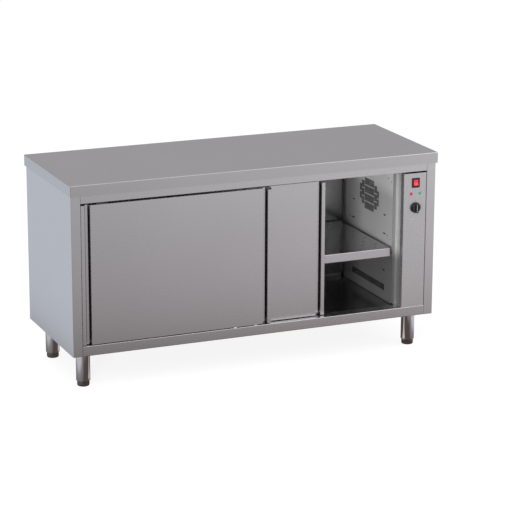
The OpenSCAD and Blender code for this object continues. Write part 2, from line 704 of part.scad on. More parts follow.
module leg_front_left() leg(-leg_x, leg_y[0]);
module leg_front_right() leg(leg_x, leg_y[0]);
module leg_rear_left() leg(-leg_x, leg_y[1]);
module leg_rear_right() leg(leg_x, leg_y[1]);
module foot_front_left() foot(-leg_x, leg_y[0]);
module foot_front_right() foot(leg_x, leg_y[0]);
module foot_rear_left() foot(-leg_x, leg_y[1]);
module foot_rear_right() foot(leg_x, leg_y[1]);

// ---- control panel ----

switch_pos = [panel_x, body_y0, switch_z];
knob_pos = [panel_x, body_y0, knob_z];
body_h = 2 * (rocker_r + 3);    // height of the switch body behind the panel
lamp_body_r = lamp_d / 2 - 0.7;
bush_r = shaft_r + 2;

module control_panel() color(steel) difference() {
    along_z(panel_z0, panel_z1) fold([[panel_x0, rear_door_pos[1] - 2], [panel_x0, body_y0],
        [panel_x1, body_y0], [panel_x1, body_y0 + 14]]);
    translate(switch_pos) block([-rocker_w / 2 - 3.3, -cut, -body_h / 2 - 0.3],
        [rocker_w / 2 + 3.3, sheet_t + cut, body_h / 2 + 0.3]);
    for (s = [-1, 1]) translate([panel_x + s * lamp_pitch / 2, body_y0, lamp_z])
        rod_y(-cut, sheet_t + cut, lamp_body_r + 0.2);
    translate(knob_pos) rod_y(-cut, sheet_t + cut, bush_r + 0.2);
}

pivot_y = 3;                    // rocker pivot behind the panel's face
pivot_r = 1.5;
frame_t = 2.5;

module switch_frame() color(black) translate(switch_pos) difference() {
    union() {
        along_y(-frame_t, 0) offset(r = 3) square([switch_w - 6, switch_h - 6], center = true);
        block([-rocker_w / 2 - 3, -0.5, -body_h / 2], [rocker_w / 2 + 3, 26, body_h / 2]);
    }
    block([-rocker_w / 2 - seat_gap, -frame_t - cut, -rocker_r - 0.4],
        [rocker_w / 2 + seat_gap, 20, rocker_r + 0.4]);
    translate([0, pivot_y, 0]) rod_x(-rocker_w / 2 - 2, rocker_w / 2 + 2, pivot_r + run_gap);
}

// The rocker rests tipped to one side; its ends follow a circle about its pivot
module rocker() color([0.85, 0.08, 0.08]) translate(switch_pos) translate([0, pivot_y, 0]) {
    rotate([-rocker_swing / 2, 0, 0]) intersection() {
        rod_x(-rocker_w / 2, rocker_w / 2, rocker_r);
        along_x(-rocker_w / 2, rocker_w / 2) polygon([[5, -rocker_r], [-pivot_y - 5.5, -rocker_r],
            [-pivot_y - 3.2, 0], [-pivot_y - 5.5, rocker_r], [5, rocker_r]]);
    }
    rod_x(-rocker_w / 2 - 1.8, rocker_w / 2 + 1.8, pivot_r);
}

module lamp(x, tint) color(tint) translate([x, body_y0, lamp_z]) turned_y() polygon(concat(
    [for (a = [0:15:90]) [lamp_d / 2 * sin(a), -1 - 2 * cos(a)]],
    [[lamp_d / 2, 0], [lamp_body_r, 0], [lamp_body_r, 24], [0, 24]]));

module red_lamp() lamp(panel_x - lamp_pitch / 2, [0.8, 0.05, 0.1]);
module green_lamp() lamp(panel_x + lamp_pitch / 2, [0.0, 0.55, 0.3]);

module thermostat() color([0.85, 0.83, 0.78]) translate(knob_pos) difference() {
    union() {
        block([-17.5, sheet_t + seat_gap, -17.5], [17.5, sheet_t + 30, 17.5]);
        rod_y(-2, sheet_t + 2, bush_r);
    }
    rod_y(-3, 24, shaft_clear_r);
}

module thermostat_shaft() color(zinc) translate(knob_pos) rod_y(-knob_h + 4, 22, shaft_r);

nib_angle = -65.5;              // direction of the pointer at rest, from +X
nib_reach = 27.5;
nib_r = 3.8;
grip_w = 9;

module knob() color(black) translate(knob_pos) translate([0, -seat_gap - 2, 0]) difference() {
    union() {
        along_y(-4, 0) {
            circle(d = knob_d);
            rotate(nib_angle) hull() for (x = [knob_d / 2 - 6, nib_reach - nib_r])
                translate([x, 0]) circle(r = nib_r, $fn = 24);
        }
        rotate([90, 0, 0]) translate([0, 0, 3.9])
            cylinder(h = knob_h - 11, d1 = knob_d - 5, d2 = knob_d - 10, $fn = 64);
        along_y(-knob_h + 2, -4) square([grip_w, knob_d - 9], center = true);
    }
    rod_y(-knob_h + 5.7, cut, shaft_r + 0.02);
    rod_y(-1.8, cut, bush_r + 0.5);
}

// ---- air system ----

module air_duct() color(zinc) {
    difference() {
        union() {
            block([bay_x0, duct_y[0], duct_z[0]], [duct_x1, duct_y[1], duct_z[1]]);
            block([bay_x0, duct_y[0] - duct_flange, duct_z[0] - duct_flange / 2],
                [bay_x0 + sheet_t, duct_y[1] + duct_flange, duct_z[1] + duct_flange]);
        }
        block([bay_x0 - cut, duct_y[0] + sheet_t, duct_z[0] + sheet_t],
            [duct_x1 - sheet_t, duct_y[1] - sheet_t, duct_z[1] - sheet_t]);
        translate([duct_x1, fan_y, fan_z]) {
            rod_x(-sheet_t - cut, cut, 12);
            for (s = [-1, 1]) translate([0, s * heater_lead, -heater_drop])
                rod_x(-sheet_t - cut, cut, heater_tube + seat_gap);
        }
    }
}

wheel_x = wall_x1 + 14;         // front ring of the fan wheel
wheel_d = 42;                   // its depth
heater_r = 86;                  // middle of the heater's ring
heater_tube = 4;
heater_lead = 20;
heater_x = wheel_x + wheel_d / 2 + 3;
heater_gap = asin(heater_lead / heater_r);  // half the angle left open under the ring
heater_drop = heater_r * cos(heater_gap);

// One ring of tube round the fan wheel, with two leads out through the duct
module ring_heater() color(dark_steel) translate([heater_x, fan_y, fan_z]) {
    rotate([0, 90, 0]) rotate([0, 0, heater_gap]) rotate_extrude(angle = 360 - 2 * heater_gap)
        translate([heater_r, 0]) circle(r = heater_tube, $fn = 24);
    for (s = [-1, 1]) translate([0, s * heater_lead, -heater_drop]) {
        sphere(heater_tube + 1.5);
        rod_x(0, duct_x1 - heater_x + 12, heater_tube);
    }
}

motor_r = 41;
motor_len = 52;
motor_shaft_r = 4;

module fan_motor() color(dark_steel) translate([duct_x1, fan_y, fan_z]) difference() {
    union() {
        rod_x(seat_gap, 4, motor_r + 12);
        rod_x(3, motor_len, motor_r);
        rod_x(motor_len - 1, motor_len + 8, 14);
        for (a = [0:30:330]) rotate([a, 0, 0])
            block([8, motor_r - 1, -1.5], [motor_len - 6, motor_r + 3, 1.5]);
    }
    rod_x(-cut, 32, motor_shaft_r + run_gap);
}

blade_t = 1;
blade_r = 22;

// Forward-curved blades between a back plate and a front ring, on a hub and shaft
module fan_wheel() color(zinc) translate([wheel_x, fan_y, fan_z]) {
    rod_x(wheel_d - 2, wheel_d, fan_r);
    rod_x(wheel_d - 16, wheel_d, 12);
    rod_x(wheel_d - 18, duct_x1 - wheel_x + 28, motor_shaft_r);
    difference() {
        rod_x(0, 2, fan_r);
        rod_x(-cut, 2 + cut, fan_r - 14);
    }
    rotate([0, 90, 0]) intersection() {
        linear_extrude(wheel_d - 1) difference() {
            circle(r = fan_r - 0.5);
            circle(r = fan_r - 13);
        }
        for (k = [0:fan_blades - 1]) rotate(k * 360 / fan_blades)
            translate([fan_r - 6, -blade_r, 0.5]) linear_extrude(wheel_d - 2) difference() {
                circle(r = blade_r);
                circle(r = blade_r - blade_t);
                translate([-2 * blade_r, -2 * blade_r]) square([4 * blade_r, 2 * blade_r]);
            }
    }
}

module safety_thermostat() color(zinc) translate([duct_x1 + seat_gap, fan_y + 110, fan_z - 110]) {
    rod_x(0, 2, 12);
    rod_x(1, 12, 8);
    for (s = [-1, 1]) block([11, s * 4 - 3, -0.4], [19, s * 4 + 3, 0.4]);
}

module terminal_block() color([0.9, 0.9, 0.86]) {
    w = 12;
    translate([gland_pos[0] - 2.5 * w, shell_back_y, gland_pos[2] + 60]) difference() {
        block([0, -18, 0], [5 * w, 0, 22]);
        for (k = [0:4]) translate([(k + 0.5) * w, 0, 0]) {
            translate([0, -12, -cut]) cylinder(h = 22 + 2 * cut, r = 2.5);
            translate([0, -19, 11]) rod_y(0, 7, 3);
        }
        for (k = [1:4]) block([k * w - 0.5, -19, -cut], [k * w + 0.5, -15, 22 + cut]);
    }
}

gland_thread_r = 10;
gland_nut = 26;

// Cable gland through the back panel: outer body and dome nut, inner locknut, bored through
module cable_gland() color([0.12, 0.12, 0.13]) translate(gland_pos) difference() {
    union() {
        rod_y(-14, 1, gland_thread_r);
        rotate([-90, 0, 0]) hex(gland_nut, 5);
        translate([0, 4.9, 0]) turned_y() polygon([[0, 0], [11, 0], [11, 6], [9, 9.6], [0, 9.6]]);
        translate([0, -sheet_t - 5, 0]) rotate([-90, 0, 0]) hex(gland_nut, 5);
    }
    rod_y(-15, 16, gland_r);
}

stud_r = 3;

module earth_stud() color([0.78, 0.65, 0.3]) translate(earth_pos) {
    rod_y(-10, 13, stud_r);
    rotate([-90, 0, 0]) hex(10, 4.5);
    translate([0, -sheet_t - 4.5, 0]) rotate([-90, 0, 0]) hex(10, 4.5);
}

// ---- fasteners ----

// A head standing on the bay wall's face in the heated space
module wall_head(p, h, r) translate([wall_x1 - h, p[0], p[1]]) rotate([0, 90, 0])
    cylinder(h = h, r1 = r * 0.6, r2 = r);

screw_inset = 40;               // from the back panel's ends to its screws

// Rivets of the jamb, screws of the duct, nuts on the leg studs and screws of the back panel
module fasteners() color(zinc) {
    for (z = rivet_z) wall_head([rivet_y, z], 1.2, 2.6);
    for (p = duct_screws) wall_head(p, 1.6, 3.2);
    at_legs() translate([0, 0, leg_h + sheet_t]) difference() {
        hex(19, 10);
        translate([0, 0, -cut]) cylinder(h = 10 + 2 * cut, r = leg_stud_r + run_gap);
    }
    for (x = [-body_x + 15, 0, body_x - 15], z = [leg_h + screw_inset, body_z1 - screw_inset])
        translate([x, body_y1, z]) rotate([-90, 0, 0]) cylinder(h = 2, r1 = 4, r2 = 3);
}

worktop();
worktop_board();
worktop_ribs();
left_side_panel();
right_side_panel();
back_panel();
top_rail();
base_pan();
base_ribs();
cabinet_floor();
left_inner_wall();
right_inner_wall();
inner_back_wall();
inner_ceiling();
insulation();
door_jamb();
door_track();
track_stops();
door_guides();
shelf();
shelf_ribs();
shelf_brackets();
leg_front_left();
leg_front_right();
leg_rear_left();
leg_rear_right();
foot_front_left();
foot_front_right();
foot_rear_left();
foot_rear_right();
control_panel();
switch_frame();
rocker();
red_lamp();
green_lamp();
thermostat();
thermostat_shaft();
knob();
fan_motor();
fan_wheel();
ring_heater();
air_duct();
safety_thermostat();
terminal_block();
cable_gland();
earth_stud();
fasteners();
front_door_face();
front_door_back();
front_door_core();
front_door_hangers();
front_roller_left();
front_roller_right();
rear_door_face();
rear_door_back();
rear_door_core();
rear_door_hangers();
rear_roller_left();
rear_roller_right();
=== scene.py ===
"""Looks for the heated plate cabinet.

Metres, with the origin on the floor under the worktop's middle, +X to the control bay and +Y to the back.
"""
import math

import bmesh
import bpy
from mathutils import Matrix, Vector


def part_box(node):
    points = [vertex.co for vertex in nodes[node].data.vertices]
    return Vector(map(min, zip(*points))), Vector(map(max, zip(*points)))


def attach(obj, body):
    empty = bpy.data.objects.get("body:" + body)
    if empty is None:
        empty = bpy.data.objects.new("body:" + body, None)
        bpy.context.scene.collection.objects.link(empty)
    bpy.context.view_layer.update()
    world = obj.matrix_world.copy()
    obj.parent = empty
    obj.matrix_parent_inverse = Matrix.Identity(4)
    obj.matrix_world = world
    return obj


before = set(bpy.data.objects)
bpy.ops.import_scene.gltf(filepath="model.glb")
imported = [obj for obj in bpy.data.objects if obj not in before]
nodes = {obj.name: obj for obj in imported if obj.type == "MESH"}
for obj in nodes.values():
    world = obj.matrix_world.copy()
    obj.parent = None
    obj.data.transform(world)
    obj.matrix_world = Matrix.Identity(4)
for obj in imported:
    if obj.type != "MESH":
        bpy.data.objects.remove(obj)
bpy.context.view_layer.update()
WHITE, BLACK = (1.0, 1.0, 1.0, 1.0), (0.0, 0.0, 0.0, 1.0)


# ---- node trees ----

def add(tree, kind, inputs=None, **props):
    """A shader node with its properties, and values or links for the inputs named."""
    node = tree.nodes.new(kind)
    for key, value in props.items():
        setattr(node, key, value)
    for key, value in (inputs or {}).items():
        if isinstance(value, bpy.types.NodeSocket):
            tree.links.new(value, node.inputs[key])
        else:
            node.inputs[key].default_value = value
    return node


def maths(tree, operation, *values):
    """The result socket of one Math node."""
    return add(tree, "ShaderNodeMath", dict(enumerate(values)), operation=operation).outputs[0]


def axes(tree, vector):
    """The X, Y and Z sockets of a vector."""
    return add(tree, "ShaderNodeSeparateXYZ", {0: vector}).outputs


def placed(tree):
    """The X, Y and Z sockets of a point's place, which is the CAD's own at rest."""
    return axes(tree, add(tree, "ShaderNodeTexCoord").outputs["Object"])


def facing(tree):
    """The X, Y and Z sockets of a face's own direction."""
    return axes(tree, add(tree, "ShaderNodeNewGeometry").outputs["True Normal"])


def mix_colour(tree, factor, a, b, blend="MIX"):
    """The result socket of a colour Mix node."""
    node = tree.nodes.new("ShaderNodeMix")
    node.data_type, node.blend_type = "RGBA", blend
    for index, value in ((0, factor), (6, a), (7, b)):
        if isinstance(value, bpy.types.NodeSocket):
            tree.links.new(value, node.inputs[index])
        else:
            node.inputs[index].default_value = value
    return node.outputs[2]


def remap(tree, value, low, high, to_low=0.0, to_high=1.0, smooth=False):
    """The result socket of a clamped Map Range node."""
    node = add(tree, "ShaderNodeMapRange",
               {"Value": value, "From Min": low, "From Max": high, "To Min": to_low, "To Max": to_high},
               interpolation_type="SMOOTHSTEP" if smooth else "LINEAR")
    return node.outputs[0]


def ramp(tree, value, low, high, *stops):
    """The colour for a value between low and high. Each stop is a value and its colour."""
    node = add(tree, "ShaderNodeValToRGB", {0: remap(tree, value, low, high)})
    elements = node.color_ramp.elements
    for index, (at, colour) in enumerate(stops):
        element = elements[index] if index < 2 else elements.new(1.0)
        element.position, element.color = (at - low) / (high - low), colour
    return node.outputs[0]


def rgb(*c):
    return (*c, 1.0)


def shade(colour, k):
    """The colour, lighter or darker by the factor k."""
    return rgb(*(min(1.0, c * k) for c in colour[:3]))


def group(name, inputs, outputs):
    """An empty node group and its input and output nodes. inputs and outputs are name and type pairs."""
    tree = bpy.data.node_groups.new(name, "ShaderNodeTree")
    for direction, sockets in (("INPUT", inputs), ("OUTPUT", outputs)):
        for label, kind in sockets:
            tree.interface.new_socket(name=label, in_out=direction, socket_type="NodeSocket" + kind)
    return tree, tree.nodes.new("NodeGroupInput"), tree.nodes.new("NodeGroupOutput")


def brushed_grain():
    """Fine streaks along a sheet's rolling direction, and broad clouds of slightly different tone."""
    tree, into, out = group("brushed_grain", [("Vector", "Vector"), ("Stretch", "Vector")],
                            [("Streak", "Float"), ("Cloud", "Float")])
    stretched = add(tree, "ShaderNodeVectorMath", {0: into.outputs["Vector"], 1: into.outputs["Stretch"]},
                    operation="MULTIPLY")
    fine = add(tree, "ShaderNodeTexNoise", {"Vector": stretched.outputs[0], "Scale": 1.0, "Detail": 4.0,
                                            "Roughness": 0.65})
    broad = add(tree, "ShaderNodeTexNoise", {"Vector": into.outputs["Vector"], "Scale": 2.2, "Detail": 3.0,
                                             "Roughness": 0.5})
    tree.links.new(fine.outputs["Fac"], out.inputs["Streak"])
    tree.links.new(broad.outputs["Fac"], out.inputs["Cloud"])
    return tree


def handling_marks():
    """Faint wiped smudges where hands and cloths pass."""
    tree, into, out = group("handling_marks", [("Vector", "Vector"), ("Amount", "Float")],
                            [("Mask", "Float")])
    warp = add(tree, "ShaderNodeTexNoise", {"Vector": into.outputs["Vector"], "Scale": 9.0, "Detail": 5.0,
                                            "Roughness": 0.7, "Distortion": 1.2})
    mask = remap(tree, warp.outputs["Fac"], 0.52, 0.74, smooth=True)
    tree.links.new(maths(tree, "MULTIPLY", mask, into.outputs["Amount"]), out.inputs["Mask"])
    return tree


def moulded_skin():
    """Fine pitted surface of a moulded or cast piece."""
    tree, into, out = group("moulded_skin", [("Vector", "Vector"), ("Size", "Float")],
                            [("Pit", "Float"), ("Tone", "Float")])
    pits = add(tree, "ShaderNodeTexNoise", {"Vector": into.outputs["Vector"], "Scale": into.outputs["Size"],
                                            "Detail": 2.0, "Roughness": 0.5})
    tone = add(tree, "ShaderNodeTexNoise", {"Vector": into.outputs["Vector"], "Scale": 40.0, "Detail": 2.0})
    tree.links.new(pits.outputs["Fac"], out.inputs["Pit"])
    tree.links.new(tone.outputs["Fac"], out.inputs["Tone"])
    return tree


GRAIN, MARKS, SKIN = brushed_grain(), handling_marks(), moulded_skin()


def material(name):
    """A new material, its tree, its Principled shader and its object coordinates."""
    mat = bpy.data.materials.new(name)
    mat.use_nodes = True
    tree = mat.node_tree
    shader = tree.nodes["Principled BSDF"]
    coords = add(tree, "ShaderNodeTexCoord").outputs["Object"]
    return mat, tree, shader, coords


ALONG_X, ALONG_Y, ALONG_Z = (6.0, 1400.0, 1400.0), (1400.0, 6.0, 1400.0), (1400.0, 1400.0, 6.0)


def open_sky(tree, distance, own_piece):
    """How open a point's surroundings are, from 0 in a deep corner to 1 on an open face."""
    node = add(tree, "ShaderNodeAmbientOcclusion", {"Distance": distance}, samples=16,
               only_local=own_piece)
    return node.outputs["AO"]


def seam_shade(tree, colour):
    """The colour, with painted shade: darker where two pieces meet or one overhangs the other."""
    openness = remap(tree, open_sky(tree, 0.03, False), 0.45, 0.95)
    return mix_colour(tree, openness, rgb(0.12, 0.115, 0.12), colour)


def crevice_shade(tree, colour):
    """The colour, with a thin dark line of painted shade right where two sheets meet."""
    openness = remap(tree, open_sky(tree, 0.013, False), 0.52, 0.68)
    return mix_colour(tree, openness, rgb(0.015, 0.015, 0.015), colour)


def shaded_below(low, high, shadow_tone):
    """A painted shade for sheet inside the cabinet: below a band between two heights it fades to a painted
    shadow colour.
    """
    def fade(tree, colour):
        height = placed(tree)["Z"]
        return mix_colour(tree, remap(tree, height, low, high, smooth=True), shadow_tone, colour)
    return fade


SHELF_UNDERSIDE, SHELF_TOP = 0.39, 0.445


def back_wall_shade(tree, colour):
    """A painted shade for the inner back wall: darker towards its foot, with thin dark lines of painted
    shade in its corners.
    """
    return crevice_shade(tree, shaded_below(0.38, 0.72, rgb(0.16, 0.158, 0.158))(tree, colour))


def side_wall_shade(tree, colour):
    """Painted light and shade for the inner side walls: painted light at the top, painted shade below the
    shelf, near-black painted shade on the sides of the punched slots, and thin dark lines of painted shade
    in the corners.
    """
    place = placed(tree)
    shadow_tone, middle = rgb(0.08, 0.079, 0.079), rgb(0.53, 0.53, 0.535)
    # Painted shade below the shelf, rising to painted light at the top of the wall.
    light_and_shade_by_height = ramp(tree, place["Z"], SHELF_UNDERSIDE, 0.76, (SHELF_UNDERSIDE, shadow_tone), (SHELF_TOP, middle),
                     (0.64, middle), (0.69, rgb(0.84, 0.835, 0.84)), (0.76, rgb(0.97, 0.965, 0.97)))
    toned = mix_colour(tree, 0.85, colour, light_and_shade_by_height)
    # Near-black painted shade on the sides of the punched slots: faces not across X, back from the wall's
    # front edge.
    edge = remap(tree, maths(tree, "ABSOLUTE", facing(tree)["X"]), 0.7, 0.3)
    slot_side_shade = maths(tree, "MULTIPLY", edge, remap(tree, place["Y"], -0.20, -0.18))
    return crevice_shade(tree, mix_colour(tree, slot_side_shade, toned, rgb(0.012, 0.012, 0.012)))


def shaded_top(tree, colour):
    """The colour, with painted shade that darkens upward faces, and thin dark lines of painted shade in its
    corners.
    """
    upward = remap(tree, facing(tree)["Z"], 0.5, 0.9)
    return crevice_shade(tree, mix_colour(tree, upward, colour, rgb(0.46, 0.457, 0.46)))


def grip_shade(tree, colour):
    """The colour, with painted shade, nearly black, on the steep sides of a door's finger groove."""
    steep = remap(tree, maths(tree, "ABSOLUTE", facing(tree)["X"]), 0.3, 0.7)
    enclosed = remap(tree, open_sky(tree, 0.05, True), 0.66, 0.48)
    return mix_colour(tree, maths(tree, "MULTIPLY", steep, enclosed), colour, rgb(0.03, 0.026, 0.027))


GLOSS_SPREAD = 0.008


def brushed(name, colour, rough, stretch=ALONG_X, streak=0.012, cloud=0.035, marks=0.015, relief=0.002,
            shade_with=seam_shade, metallic=1.0):
    """Brushed or rolled metal: streaks and clouds change its tone and gloss a little."""
    mat, tree, shader, coords = material(name)
    grain = add(tree, "ShaderNodeGroup", node_tree=GRAIN)
    tree.links.new(coords, grain.inputs["Vector"])
    grain.inputs["Stretch"].default_value = stretch
    smudge = add(tree, "ShaderNodeGroup", node_tree=MARKS)
    tree.links.new(coords, smudge.inputs["Vector"])
    smudge.inputs["Amount"].default_value = marks
    toned = mix_colour(tree, grain.outputs["Streak"], shade(colour, 1 - streak), shade(colour, 1 + streak))
    cloudy = mix_colour(tree, remap(tree, grain.outputs["Cloud"], 0.3, 0.7), shade(colour, 1 - cloud),
                        shade(colour, 1 + cloud))
    plain = mix_colour(tree, 0.5, toned, cloudy)
    tree.links.new(shade_with(tree, plain) if shade_with else plain, shader.inputs["Base Color"])
    gloss = remap(tree, grain.outputs["Streak"], 0.3, 0.7, rough - GLOSS_SPREAD, rough + GLOSS_SPREAD)
    tree.links.new(maths(tree, "ADD", gloss, smudge.outputs["Mask"]), shader.inputs["Roughness"])
    bump = add(tree, "ShaderNodeBump", {"Height": grain.outputs["Streak"], "Strength": relief,
                                        "Distance": 0.0003})
    tree.links.new(bump.outputs[0], shader.inputs["Normal"])
    shader.inputs["Metallic"].default_value = metallic
    return mat


def moulded(name, colour, rough, size=900.0, relief=0.08, tone=0.10, coat=0.0, specular=0.5):
    """Moulded plastic, rubber, ceramic or paint with a fine skin."""
    mat, tree, shader, coords = material(name)
    skin = add(tree, "ShaderNodeGroup", node_tree=SKIN)
    tree.links.new(coords, skin.inputs["Vector"])
    skin.inputs["Size"].default_value = size
    tree.links.new(mix_colour(tree, skin.outputs["Tone"], shade(colour, 1 - tone), shade(colour, 1 + tone)),
                   shader.inputs["Base Color"])
    tree.links.new(remap(tree, skin.outputs["Pit"], 0.3, 0.7, rough - 0.05, rough + 0.05),
                   shader.inputs["Roughness"])
    bump = add(tree, "ShaderNodeBump", {"Height": skin.outputs["Pit"], "Strength": relief,
                                        "Distance": 0.0002})
    tree.links.new(bump.outputs[0], shader.inputs["Normal"])
    shader.inputs["Specular IOR Level"].default_value = specular
    shader.inputs["Coat Weight"].default_value = coat
    shader.inputs["Coat Roughness"].default_value = 0.08
    return mat


STEEL = rgb(0.585, 0.578, 0.585)

# The worktop's steel is a darker copy of STEEL: painted shade on the worktop.
top_steel = brushed("worktop_steel", shade(STEEL, 0.89), 0.30, ALONG_X)
side_steel = brushed("side_steel", STEEL, 0.30, ALONG_Y, shade_with=None)
front_steel = brushed("front_steel", STEEL, 0.27, ALONG_X, relief=0.0012, shade_with=None)
door_steel = brushed("door_steel", STEEL, 0.27, ALONG_X, relief=0.0012, shade_with=grip_shade)
panel_steel = brushed("panel_steel", shade(STEEL, 0.80), 0.27, ALONG_Z, streak=0.006, relief=0.001,
                      shade_with=None, metallic=0.8)
# The jamb fades to a painted shadow colour below shelf height.
jamb_steel = brushed("jamb_steel", rgb(0.45, 0.446, 0.45), 0.25, ALONG_Z, metallic=0.4,
                     shade_with=shaded_below(0.38, 0.45, rgb(0.19, 0.188, 0.19)))
lining_steel = brushed("lining_steel", rgb(0.60, 0.60, 0.605), 0.30, ALONG_Y, metallic=0.4,
                       shade_with=side_wall_shade)
back_lining_steel = brushed("back_lining_steel", rgb(0.55, 0.545, 0.545), 0.20, ALONG_Z,
                            shade_with=back_wall_shade)
# The inner floor's steel is darker than the lining: painted shade in the lower compartment.
floor_steel = brushed("inner_floor_steel", rgb(0.36, 0.36, 0.36), 0.22, ALONG_X, shade_with=crevice_shade)
shelf_steel = brushed("shelf_steel", rgb(0.60, 0.595, 0.60), 0.20, ALONG_X, shade_with=shaded_top)
leg_steel = brushed("leg_steel", rgb(0.62, 0.59, 0.585), 0.10, ALONG_Z, marks=0.01, shade_with=None)
foot_steel = brushed("foot_steel", rgb(0.40, 0.38, 0.37), 0.14, ALONG_X, marks=0.01, shade_with=None)
zinc_steel = brushed("zinc_steel", rgb(0.42, 0.43, 0.45), 0.38, ALONG_X, cloud=0.15)
# Near black, darker than paint: painted shade inside the duct behind the punched slots, and on the fan
# wheel in it.
duct_shade_black = moulded("duct_shade_black", rgb(0.010, 0.010, 0.010), 0.85, tone=0.2, specular=0.05)
screw_steel = brushed("screw_steel", rgb(0.20, 0.20, 0.21), 0.35, ALONG_Y)
aluminium = brushed("track_aluminium", rgb(0.60, 0.61, 0.63), 0.30, ALONG_X)
heater_sheath = moulded("heater_sheath", rgb(0.030, 0.026, 0.024), 0.6, tone=0.3, specular=0.15)
brass = brushed("earth_brass", rgb(0.60, 0.43, 0.16), 0.28, ALONG_Y)
black_plastic = moulded("black_plastic", rgb(0.006, 0.006, 0.006), 0.30)
white_nylon = moulded("white_nylon", rgb(0.74, 0.74, 0.70), 0.42)
rubber = moulded("buffer_rubber", rgb(0.02, 0.02, 0.02), 0.75, relief=0.2)
gland_plastic = moulded("gland_plastic", rgb(0.03, 0.03, 0.033), 0.45)
ceramic = moulded("ceramic", rgb(0.70, 0.67, 0.58), 0.65, relief=0.25)
motor_paint = moulded("motor_paint", rgb(0.10, 0.10, 0.11), 0.42, relief=0.2)
wool = moulded("mineral_wool", rgb(0.48, 0.40, 0.18), 0.95, size=300.0, relief=0.9, tone=0.3)
board = moulded("pressed_board", rgb(0.34, 0.22, 0.12), 0.8, size=500.0, relief=0.4, tone=0.25)
rocker_red = moulded("rocker_red", rgb(0.72, 0.012, 0.03), 0.22, relief=0.03, coat=0.5)
red_lens = moulded("red_lens", rgb(0.36, 0.005, 0.045), 0.12, relief=0.03, coat=0.8)
green_lens = moulded("green_lens", rgb(0.005, 0.26, 0.115), 0.12, relief=0.03, coat=0.8)
line_white = moulded("line_white", rgb(0.33, 0.33, 0.32), 0.5)

FINISH = {
    "worktop": top_steel, "worktop_board": board, "worktop_ribs": zinc_steel,
    "left_side_panel": side_steel, "right_side_panel": side_steel, "back_panel": front_steel,
    "top_rail": front_steel, "base_pan": front_steel, "base_ribs": zinc_steel,
    "cabinet_floor": floor_steel, "left_inner_wall": lining_steel, "right_inner_wall": lining_steel,
    "inner_back_wall": back_lining_steel, "inner_ceiling": lining_steel, "insulation": wool,
    "door_jamb": jamb_steel, "door_track": aluminium, "track_stops": rubber, "door_guides": white_nylon,
    "shelf": shelf_steel, "shelf_ribs": zinc_steel, "shelf_brackets": zinc_steel,
    "control_panel": panel_steel, "switch_frame": black_plastic, "rocker": rocker_red,
    "red_lamp": red_lens, "green_lamp": green_lens, "thermostat": ceramic,
    "thermostat_shaft": zinc_steel, "knob": black_plastic, "fan_motor": motor_paint,
    "fan_wheel": duct_shade_black, "ring_heater": heater_sheath, "air_duct": duct_shade_black,
    "safety_thermostat": zinc_steel, "terminal_block": ceramic, "cable_gland": gland_plastic,
    "earth_stud": brass, "fasteners": screw_steel,
}
for corner in ("front_left", "front_right", "rear_left", "rear_right"):
    FINISH["leg_" + corner] = leg_steel
    FINISH["foot_" + corner] = foot_steel
for door in ("front", "rear"):
    FINISH[door + "_door_face"] = door_steel
    FINISH[door + "_door_back"] = door_steel
    FINISH[door + "_door_core"] = wool
    FINISH[door + "_door_hangers"] = zinc_steel
    for side in ("left", "right"):
        FINISH[f"{door}_roller_{side}"] = white_nylon

for name, obj in nodes.items():
    obj.data.materials.clear()
    obj.data.materials.append(FINISH[name])


# ---- stage ----

def light_path(tree):
    """What shows the pale background: camera, mirror and see-through rays. Also the mirror rays alone."""
    path = add(tree, "ShaderNodeLightPath").outputs
    seen = maths(tree, "MAXIMUM", path["Is Camera Ray"], path["Is Transmission Ray"])
    return maths(tree, "MAXIMUM", seen, path["Is Glossy Ray"]), path["Is Glossy Ray"]


def studio_world():
    """A white background; mirror rays see a pale room, greyer at the horizon behind the cabinet."""
    world = bpy.data.worlds.new("studio")
    world.use_nodes = True
    tree = world.node_tree
    background = tree.nodes["Background"]
    axis = axes(tree, add(tree, "ShaderNodeTexCoord").outputs["Generated"])
    behind = ramp(tree, axis["Z"], 0.0, 1.0, (0.0, rgb(0.46, 0.45, 0.46)), (0.35, rgb(0.47, 0.46, 0.475)),
                  (0.7, rgb(0.85, 0.85, 0.88)))
    before = ramp(tree, axis["Z"], 0.0, 1.0, (0.0, rgb(0.66, 0.64, 0.65)), (0.4, rgb(0.95, 0.94, 0.95)))
    beside = ramp(tree, axis["X"], -1.0, 1.0, (-1.0, rgb(0.74, 0.78, 0.84)), (-0.6, rgb(0.46, 0.45, 0.47)),
                  (0.6, rgb(0.47, 0.46, 0.46)), (1.0, rgb(0.80, 0.80, 0.80)))
    low_behind = mix_colour(tree, remap(tree, axis["Z"], 0.1, 0.5), beside, behind)
    room = mix_colour(tree, remap(tree, axis["Y"], -0.3, 0.3), before, low_behind)
    shown, mirrored = light_path(tree)
    tree.links.new(mix_colour(tree, mirrored, WHITE, room), background.inputs["Color"])
    tree.links.new(remap(tree, shown, 0, 1, 0.80, 1.0), background.inputs["Strength"])
    bpy.context.scene.world = world


